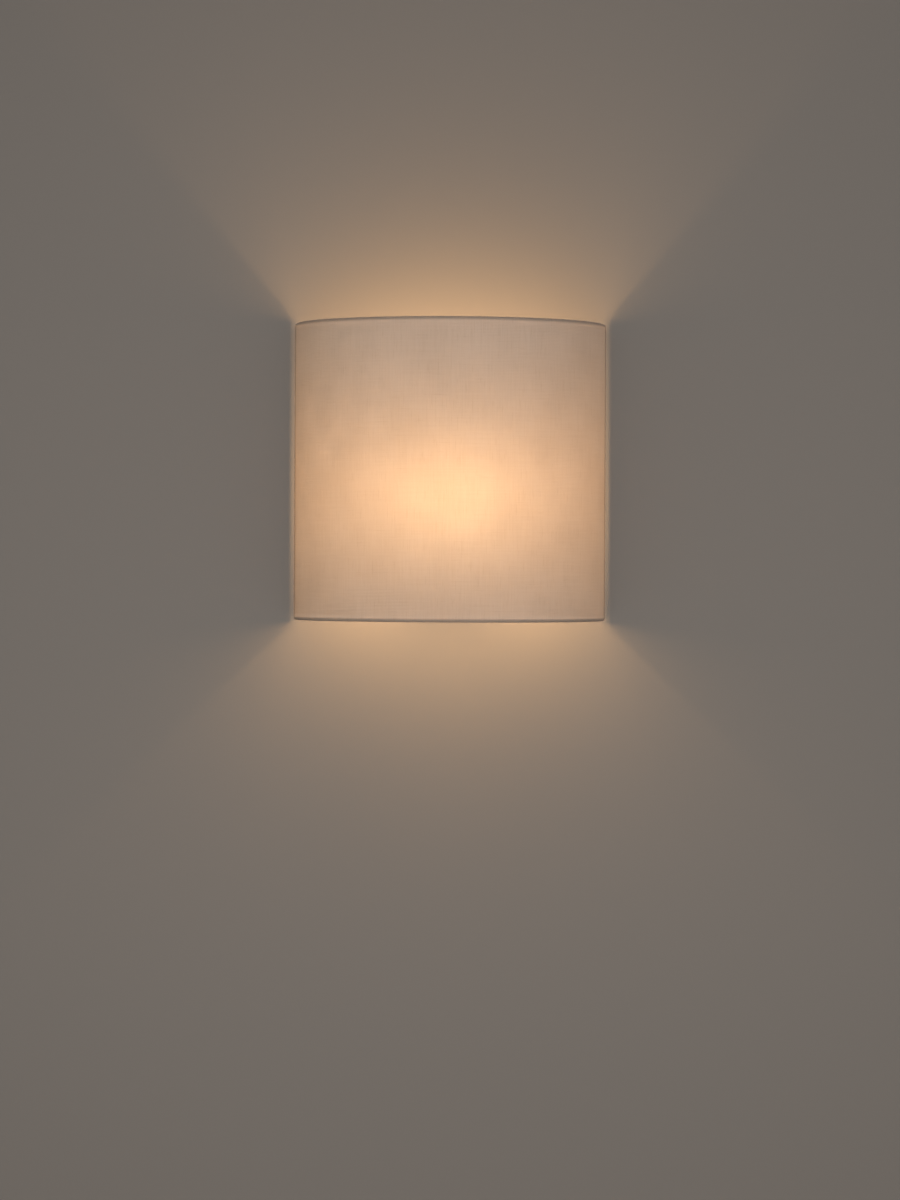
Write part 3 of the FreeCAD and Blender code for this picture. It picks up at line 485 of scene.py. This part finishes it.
# Moulded polyamide: a warm, slightly waxy off-white.
dress(["cable_clamp", "terminal_block"],
      surface("moulded_polyamide", ("#E6E2D6", "#DDD8CA"), 0.005, (0.42, 0.55), 0.0007, 0.00004, IOR=1.53))

# Turned brass: warm yellow with fine turning marks round the pieces' length.
turned_brass = surface("turned_brass", ("#CDAA63", "#B08C4B"), 0.003, (0.24, 0.4), 0.0003, 0.00003,
                       grain_stretch=(0.1, 0.1, 1), Metallic=1.0)
dress(["terminal_sleeves", "earth_screw", "hollow_nipple", "live_terminal", "neutral_terminal",
       "thread_shell", "neutral_link", "contact_spring", "centre_contact"], turned_brass)

# ---------------------------------------------------------------- cover and lamp arm
# A pressed steel box that screws to the plate's tabs, and the folded channel that stands off it and carries
# the lampholder.  Both are powder-coated white.

dress(["cover", "lamp_arm"], powder_coat)

# ---------------------------------------------------------------- wires
# Three silicone-insulated wires.  The live and neutral ones run from the terminal block to the lampholder,
# and the earth wire from the block to the earth screw on the plate.

# Extruded silicone: soft, matt, strongly coloured.
for wire, tones in (("live_lead", ("#5E3D27", "#53351F")), ("neutral_lead", ("#2C4F8E", "#274680"))):
    dress([wire], surface(wire + "_silicone", tones, 0.004, (0.5, 0.62), 0.0006, 0.00003))


def striped_silicone():
    """Green silicone with a yellow stripe that winds along the wire."""
    material, tree, output = new_material("earth_lead_silicone")
    place = node(tree, "TexCoord")
    bands = node(tree, "TexWave",
                 {"wave_type": "BANDS", "bands_direction": "DIAGONAL", "wave_profile": "SIN"},
                 {"Vector": place.outputs["Object"], "Scale": 80.0, "Distortion": 0.0})
    share = node(tree, "MapRange", {"interpolation_type": "SMOOTHSTEP"},
                 {"Value": bands.outputs["Fac"], "From Min": 0.45, "From Max": 0.55})
    colour = node(tree, "Mix", {"data_type": "RGBA"},
                  {"Factor": share.outputs[0], "A": linear("#3E7A34"), "B": linear("#D8C23A")})
    shader = node(tree, "BsdfPrincipled", inputs={"Base Color": colour.outputs["Result"], "Roughness": 0.55,
                                                  "Normal": relief(tree, 0.0006, 0.00003)})
    tree.links.new(shader.outputs[0], output.inputs["Surface"])
    return material


dress(["earth_lead"], striped_silicone())

# ---------------------------------------------------------------- lampholder
# A two-piece threaded holder in white thermoset: a dome that the hollow nipple clamps to the arm, and a
# fluted skirt that screws on to it.

LAMP_AXIS = Vector((0, -0.058, 0))
TURN_STEPS = 96
FLUTES = 30
FLUTE_STEPS = 6
GROOVE_STEPS = 3
FLUTE_DEPTH = 0.0007
LOWER_BAND = 0.002
UPPER_BAND = 0.008
NIPPLE_HOLE_RADIUS = 0.0051
FOOT_RADIUS = 0.009
FOOT_RISE = 0.0018
DOME_FLOOR_THICK = 0.0045
DOME_WALL = 0.002
SHOULDER_RADIUS = 0.0065
SHOULDER_RISE = 0.0095
SKIRT_RECESS_RADIUS = 0.0158
SKIRT_RECESS_DEPTH = 0.0032
MOUTH_INSET = 0.0061


def turned_mesh(profile, steps=TURN_STEPS, axis=LAMP_AXIS):
    """A closed section of (radius, height) points turned once round an upright axis."""
    bm = bmesh.new()
    verts = [bm.verts.new((axis.x + radius, axis.y, height)) for radius, height in profile]
    edges = [bm.edges.new(pair) for pair in zip(verts, verts[1:])]
    if profile[0][0] > 1e-6:
        edges.append(bm.edges.new((verts[-1], verts[0])))
    bmesh.ops.spin(bm, geom=verts + edges, cent=axis, axis=(0, 0, 1), angle=2 * math.pi, steps=steps,
                   use_merge=True)
    bmesh.ops.remove_doubles(bm, verts=bm.verts, dist=1e-6)
    bmesh.ops.recalc_face_normals(bm, faces=bm.faces)
    return bm


def soften(piece, width, segments=3):
    """Round a piece's sharp edges."""
    rounding = piece.modifiers.new("rounded_edges", "BEVEL")
    rounding.width = width
    rounding.segments = segments
    rounding.limit_method = "ANGLE"
    rounding.angle_limit = math.radians(28)
    rounding.harden_normals = True


dome_low, dome_high = (Vector(corner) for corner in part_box("holder_dome"))
skirt_low, skirt_high = (Vector(corner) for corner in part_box("holder_skirt"))
holder_radius = (skirt_high.x - skirt_low.x) / 2
dome_floor = dome_low.z
shoulder = arc_points((holder_radius - SHOULDER_RADIUS, dome_floor + SHOULDER_RISE), SHOULDER_RADIUS,
                      -62, 0, 8)
dome_profile = ([(NIPPLE_HOLE_RADIUS, dome_floor), (FOOT_RADIUS, dome_floor),
                 (FOOT_RADIUS, dome_floor + FOOT_RISE)] + shoulder
                + [(holder_radius, dome_high.z), (holder_radius - DOME_WALL, dome_high.z),
                   (holder_radius - DOME_WALL, dome_floor + SHOULDER_RISE), (0.0154, dome_floor + 0.0072),
                   (0.007, dome_floor + DOME_FLOOR_THICK),
                   (NIPPLE_HOLE_RADIUS, dome_floor + DOME_FLOOR_THICK)])

# Compression-moulded thermoset: dense white with a hard, clear gloss.
thermoset = surface("moulded_white_thermoset", ("#ECE9E2", "#E6E2DA"), 0.03, (0.24, 0.3), 0.002, 0.00001,
                    IOR=1.6)
holder_dome = finish_mesh("lampholder_dome", turned_mesh(dome_profile), thermoset, "wall_set")
soften(holder_dome, 0.0004)
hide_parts("holder_dome")

mouth = holder_radius - MOUTH_INSET
skirt_profile = [(SKIRT_RECESS_RADIUS, skirt_low.z), (holder_radius, skirt_low.z),
                 (holder_radius, skirt_low.z + 0.0015), (holder_radius, skirt_low.z + 0.0022),
                 (holder_radius, skirt_high.z - 0.0082), (holder_radius, skirt_high.z - 0.0075),
                 (holder_radius, skirt_high.z - 0.006), (0.0185, skirt_high.z), (mouth, skirt_high.z),
                 (mouth, skirt_low.z + SKIRT_RECESS_DEPTH),
                 (SKIRT_RECESS_RADIUS, skirt_low.z + SKIRT_RECESS_DEPTH)]


def fluted_skirt_mesh():
    """The skirt with grip flutes pressed into its outside between two plain bands."""
    bm = turned_mesh(skirt_profile, steps=FLUTES * FLUTE_STEPS)
    step = 2 * math.pi / (FLUTES * FLUTE_STEPS)
    for vert in bm.verts:
        out = Vector((vert.co.x, vert.co.y - LAMP_AXIS.y))
        between_bands = skirt_low.z + LOWER_BAND < vert.co.z < skirt_high.z - UPPER_BAND
        if between_bands and out.length > holder_radius - 1e-5:
            turn = round(math.atan2(out.y, out.x) / step) % FLUTE_STEPS
            if turn < GROOVE_STEPS:
                inner = out * (1 - FLUTE_DEPTH / out.length)
                vert.co.x, vert.co.y = inner.x, inner.y + LAMP_AXIS.y
    return bm


holder_skirt = finish_mesh("lampholder_skirt", fluted_skirt_mesh(), thermoset, "wall_set")
soften(holder_skirt, 0.0002, 2)
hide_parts("holder_skirt")
dress(["contact_insert"], thermoset)

# ---------------------------------------------------------------- screws that show
# The cover's and the arm's pan-head screws and the plate's shouldered studs: cold-headed steel with a
# pressed cross recess.  The screws are powder-coated like the cover, the studs zinc-plated like the plate.

SCREW_STEPS = 32
SCREW_AXIS = Vector((0, 0, 0))
RECESS_WIDTH = 0.0009
RECESS_LENGTH = 0.0038
RECESS_DEPTH = 0.0013
RECESS_TAPER = 0.75
COVER_SCREW_Y = -0.009
ARM_FLANGE_THICK = 0.0015
ARM_SCREW_X = 0.006
ARM_SCREW_Z = -0.044
STUD_LENGTH = 0.0079
STUD_X = 0.042
STUD_Z = 0.038


def pan_head(radius, height, shank):
    """The profile of a screw from the foot of its shank to the top of its domed head."""
    dome = [(1.0, 0.0), (1.0, 0.42), (0.97, 0.6), (0.88, 0.77), (0.7, 0.9), (0.45, 0.97), (0.0, 1.0)]
    return shank + [(radius * across, height * up) for across, up in dome]


def cross_recess(bm, top):
    """Sink a tapered cross into the top of an upright head."""
    for across in (Vector((1, 0, 0)), Vector((0, 1, 0)), Vector((-1, 0, 0)), Vector((0, -1, 0))):
        for reach in (RECESS_WIDTH / 2, RECESS_LENGTH / 2):
            bmesh.ops.bisect_plane(bm, geom=list(bm.verts) + list(bm.edges) + list(bm.faces), dist=1e-7,
                                   plane_co=across * reach, plane_no=across)
    cross = []
    for face in bm.faces:
        middle = face.calc_center_median()
        near, far = sorted((abs(middle.x), abs(middle.y)))
        if near < RECESS_WIDTH / 2 and far < RECESS_LENGTH / 2 and middle.z > top / 2:
            cross.append(face)
    grown = bmesh.ops.extrude_face_region(bm, geom=cross)["geom"]
    for vert in grown:
        if isinstance(vert, bmesh.types.BMVert):
            vert.co = (vert.co.x * RECESS_TAPER, vert.co.y * RECESS_TAPER, top - RECESS_DEPTH)
    bmesh.ops.recalc_face_normals(bm, faces=bm.faces)


def screw_set(profile, places):
    """Like screws in one mesh, each given by the point under its head and the way its head faces."""
    one = turned_mesh(profile, SCREW_STEPS, SCREW_AXIS)
    cross_recess(one, profile[-1][1])
    pattern = bpy.data.meshes.new("one_screw")
    one.to_mesh(pattern)
    one.free()
    bm = bmesh.new()
    for place, way in places:
        count = len(bm.verts)
        bm.from_mesh(pattern)
        bm.verts.ensure_lookup_table()
        turn = Vector(way).to_track_quat("Z", "Y").to_matrix().to_4x4()
        bmesh.ops.transform(bm, matrix=Matrix.Translation(place) @ turn, verts=bm.verts[count:])
    bpy.data.meshes.remove(pattern)
    return bm


cover_low, cover_high = (Vector(corner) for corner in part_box("cover"))
m4_shank = [(0.0, -0.005), (0.0016, -0.005), (0.002, -0.0046), (0.002, 0.0)]
m4_screw = pan_head(radius=0.0035, height=0.0022, shank=m4_shank)
cover_screws = finish_mesh("cover_side_screws", screw_set(m4_screw, [
    ((cover_low.x, COVER_SCREW_Y, 0), (-1, 0, 0)), ((cover_high.x, COVER_SCREW_Y, 0), (1, 0, 0))]),
    powder_coat, "wall_set")
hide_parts("cover_screws")

flange_y = cover_low.y - ARM_FLANGE_THICK
m35_shank = [(0.0, -0.007), (0.0014, -0.007), (0.00175, -0.0066), (0.00175, 0.0)]
m35_screw = pan_head(radius=0.0033, height=0.0022, shank=m35_shank)
arm_screws = finish_mesh("arm_flange_screws", screw_set(m35_screw, [
    ((side * ARM_SCREW_X, flange_y, ARM_SCREW_Z), (0, -1, 0)) for side in (-1, 1)]),
    powder_coat, "wall_set")
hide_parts("arm_screws")

# Its threaded foot in the plate, its collar, and the neck that the strut's keyhole slides along.
stud_shank = [(0.0, -STUD_LENGTH), (0.002, -STUD_LENGTH), (0.002, -0.0064), (0.0035, -0.0064),
              (0.0035, -0.0023), (0.00175, -0.0023), (0.00175, 0.0)]
shouldered_stud = pan_head(radius=0.0035, height=0.002, shank=stud_shank)
studs = finish_mesh("shouldered_studs", screw_set(shouldered_stud, [
    ((side * STUD_X, -STUD_LENGTH, up * STUD_Z), (0, -1, 0)) for side in (-1, 1) for up in (-1, 1)]),
    zinc_plate, "wall_set")
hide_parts("hanging_studs")
for screws in (cover_screws, arm_screws, studs):
    soften(screws, 0.0001, 2)

# ---------------------------------------------------------------- bulb
# An opal golf-ball bulb, lit: a white diffusing globe on a moulded housing, with a rolled screw cap that
# ends in black glass and a tip contact.

GLOBE_GLOW = 0.8
GLOBE_WARM = "#FFDDA8"

globe_low, globe_high = (Vector(corner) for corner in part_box("bulb_globe"))
globe_radius = (globe_high.x - globe_low.x) / 2
globe_middle = globe_high.z - globe_radius
housing_low, housing_high = (Vector(corner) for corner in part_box("bulb_housing"))


def lit_opal():
    """Opal polycarbonate with the lamp on behind it: an even warm glow over a faintly mottled white."""
    material, tree, output = new_material("opal_polycarbonate_lit")
    colour, drift = toned(tree, 0.02, "#E2DACC", "#DCD3C3")
    gloss = node(tree, "MapRange", inputs={"Value": drift, "To Min": 0.3, "To Max": 0.42})
    front = node(tree, "BsdfPrincipled", inputs={
        "Base Color": colour, "Roughness": gloss.outputs[0], "IOR": 1.58,
        "Emission Color": linear(GLOBE_WARM), "Emission Strength": GLOBE_GLOW})
    tree.links.new(front.outputs[0], output.inputs["Surface"])
    return material


neck = math.degrees(math.asin((globe_low.z - globe_middle) / globe_radius))
globe_profile = ([(0, globe_high.z)] + arc_points((0, globe_middle), globe_radius, 89, neck, 40)
                 + [(globe_radius * math.cos(math.radians(neck)) - 0.0014, globe_low.z),
                    (0, globe_low.z + 0.0002)])
globe = finish_mesh("opal_globe", turned_mesh(globe_profile), lit_opal(), "bulb")
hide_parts("bulb_globe")

# Injection-moulded polycarbonate: a clean satin white.
moulded_white = surface("moulded_polycarbonate", ("#E9E7E2", "#E1DED8"), 0.01, (0.36, 0.46), 0.001, 0.00004,
                        IOR=1.58)
shell = housing_low.z
housing_profile = [(0.011, shell), (0.0126, shell), (0.0126, shell + 0.0024), (0.0136, shell + 0.0024),
                   (0.01395, shell + 0.0042), (0.0147, shell + 0.0072), (0.0156, shell + 0.0098),
                   (0.0165, shell + 0.0134), (0.0171, shell + 0.0164), (0.0171, shell + 0.0169),
                   (0.0167, shell + 0.0169), (0.0167, shell + 0.0174), (0.0173, shell + 0.0174),
                   (0.0176, housing_high.z), (0.0162, housing_high.z), (0.0142, shell + 0.0092),
                   (0.011, shell + 0.0012)]
housing = finish_mesh("bulb_body", turned_mesh(housing_profile), moulded_white, "bulb")
soften(housing, 0.0002, 2)
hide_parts("bulb_housing")

# Rolled, nickel-plated cap: bright and slightly warm, scuffed along its thread.
dress(["bulb_cap", "bulb_tip_contact"],
      surface("nickel_plated_cap", ("#C9C7C1", "#B3B0A9"), 0.003, (0.2, 0.38), 0.0004, 0.00003,
              grain_stretch=(0.2, 0.2, 1), Metallic=1.0))

# Vitreous insulator: black glass with a wet gloss.
dress(["bulb_insulator"],
      surface("black_vitreous_glass", ("#161618", "#1D1C1E"), 0.003, (0.08, 0.18), 0.0008, 0.00003, IOR=1.52))

# ---------------------------------------------------------------- lamplight
# The bulb is on.  Its light on the shade and on the wall is set lamp by lamp, so that each shows at the
# photograph's exposure.  The wires and the doubled hems shade the cloth; the cover, the holder and the bulb's
# own housing shade the wall.

BULB_CENTRE = (0, LAMP_AXIS.y, 0.0265)
SHADE_LAMP_PLACE = (0, -0.056, 0.0225)
HOT_SPOT_PLACE = (0, -0.078, 0.0215)
HOT_SPOT_RADIUS = 0.002
SHADE_LAMP_RADIUS = 0.022
WALL_LAMP_RADIUS = 0.012
SHADE_WARM = (1.0, 0.585, 0.25)
HOT_SPOT_WARM = (1.0, 0.90, 0.50)
WALL_WARM = (1.0, 0.60, 0.27)
SHADE_GLOW = 0.30
HOT_SPOT_GLOW = 0.040
LINER_GLOW = 0.16
WALL_GLOW = 1.62
BOUNCE = 0.65
SIDE_BOUNCE = 0.075
LOW_BOUNCE = 0.22
PANEL_FOOT = -0.065
PANEL_TOP = 0.155
LOW_PANEL_TOP = -0.015
PANEL_Y = -0.1
PANEL_WIDTH = 0.14
SIDE_PANEL_X = 0.085
SIDE_PANEL_Y = -0.06
SIDE_PANEL_WIDTH = 0.04

soft_pieces = [shade_cloth, liner]
turned_pieces = [holder_dome, holder_skirt, globe, housing, cover_screws, arm_screws, studs]
cad_pieces = [nodes[name] for name in nodes if not nodes[name].hide_render]
ring_wires = [nodes[name] for name in ("upper_ring", "lower_ring", "left_side_rod", "right_side_rod")]
behind_bulb = [nodes["cover"], nodes["lamp_arm"], nodes["wall_plate"], holder_dome, holder_skirt]
whole_light = cad_pieces + soft_pieces + turned_pieces


def link_lamp(lamp, lit, shading):
    """Let a lamp light some pieces only, and take its shadows from some pieces only."""
    for pieces, purpose in ((lit, "receiver_collection"), (shading, "blocker_collection")):
        group = bpy.data.collections.new(lamp.name + "_" + purpose)
        for piece in pieces:
            group.objects.link(piece)
        setattr(lamp.light_linking, purpose, group)


def bulb_light(name, power, colour, lit, shading, radius=SHADE_LAMP_RADIUS, place=BULB_CENTRE):
    """A warm lamp inside the globe, its size or less."""
    lamp = bpy.data.lights.new(name, "POINT")
    lamp.energy = power
    lamp.color = colour
    lamp.shadow_soft_size = radius
    holder = bpy.data.objects.new(name, lamp)
    holder.location = place
    bpy.context.collection.objects.link(holder)
    link_lamp(holder, lit, shading)


def bounce_light(name, power, top, x=0, y=PANEL_Y, width=PANEL_WIDTH, shading=behind_bulb + soft_pieces):
    """The lit liner's own light on the wall: a warm panel inside the shade that faces the wall."""
    middle = (PANEL_FOOT + top) / 2
    panel = studio_light(name, (x, y, middle), (x, 0, middle), width, top - PANEL_FOOT, power)
    panel.data.color = WALL_WARM
    link_lamp(panel, [wall, floor], shading)


# The photograph's bright spot is paler and narrower than one lamp makes it, so a second, small lamp at the
# globe's front adds to it.
bulb_light("bulb_on_shade", SHADE_GLOW, SHADE_WARM, [shade_cloth], ring_wires + [shade_cloth],
           place=SHADE_LAMP_PLACE)
bulb_light("hot_spot_on_shade", HOT_SPOT_GLOW, HOT_SPOT_WARM, [shade_cloth], ring_wires + [shade_cloth],
           HOT_SPOT_RADIUS, HOT_SPOT_PLACE)
bulb_light("bulb_on_liner", LINER_GLOW, SHADE_WARM, [liner], ring_wires)
bulb_light("bulb_on_wall", WALL_GLOW, WALL_WARM, [wall, floor], behind_bulb + soft_pieces + [housing],
           WALL_LAMP_RADIUS)
bounce_light("shade_on_wall", BOUNCE, PANEL_TOP)
bounce_light("low_shade_on_wall", LOW_BOUNCE, LOW_PANEL_TOP, shading=soft_pieces)
for side, name in ((-1, "left_shade_on_wall"), (1, "right_shade_on_wall")):
    bounce_light(name, SIDE_BOUNCE, PANEL_TOP, side * SIDE_PANEL_X, SIDE_PANEL_Y, SIDE_PANEL_WIDTH)
link_lamp(wall_wash, [wall], [floor])
link_lamp(floor_wash, [floor], whole_light)
for softbox in (key_softbox, fill_softbox, rear_softbox):
    link_lamp(softbox, whole_light, whole_light)
